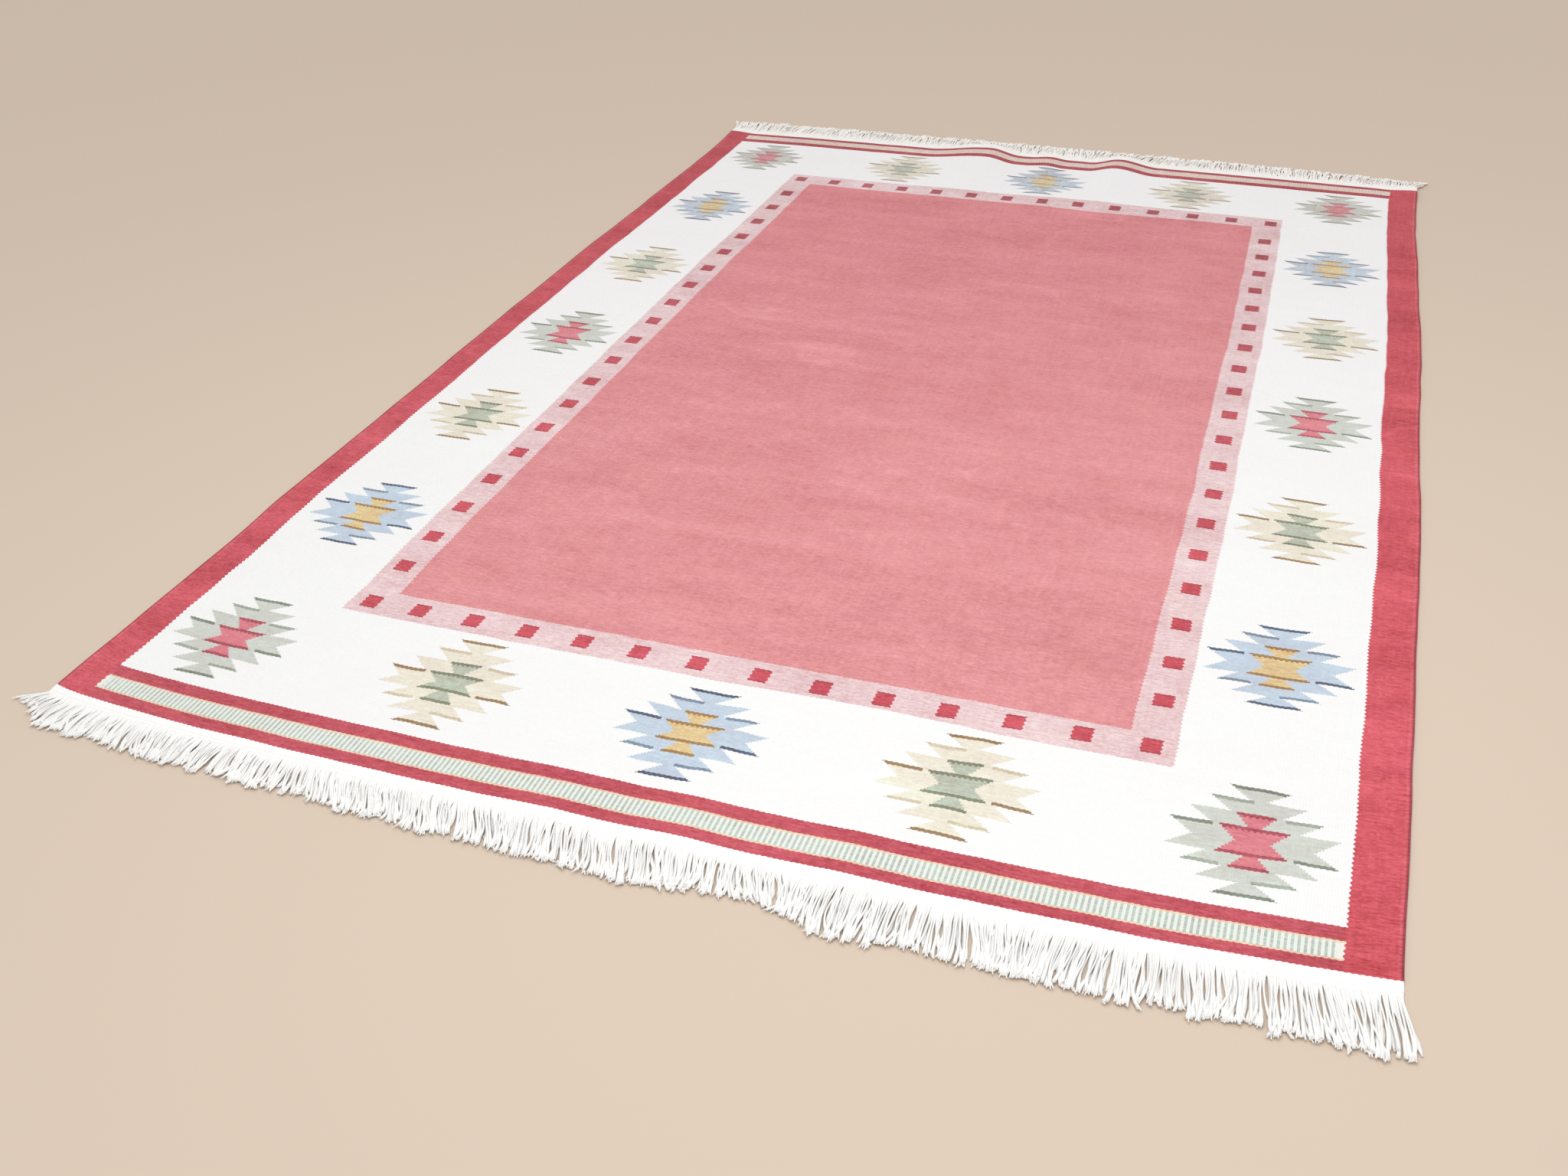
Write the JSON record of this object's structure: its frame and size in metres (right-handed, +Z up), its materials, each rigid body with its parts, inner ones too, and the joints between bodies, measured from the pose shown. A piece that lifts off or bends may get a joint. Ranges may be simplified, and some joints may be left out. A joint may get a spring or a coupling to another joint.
{
  "type": "rolakan rug",
  "caption": "Flat-woven wool rug lying flat, with a plain field, a border of stepped diamond motifs, red outer bands and a cotton fringe at both ends.",
  "frame": {"origin": "middle of the rug's underside, at floor level", "axes": "+X across the rug, +Y along the warp towards the end with the two raised folds, +Z up"},
  "size_m": [2.0312, 3.2749, 0.0202],
  "materials": {
    "woven_wool": "flat-woven wool on cotton warp, matt, fine ribs along the warp",
    "cotton_warp": "natural white plied cotton yarn, matt"
  },
  "bodies": {
    "root": {"rug": "woven_wool", "fringe_near": "cotton_warp", "fringe_far": "cotton_warp"}
  },
  "joints": []
}
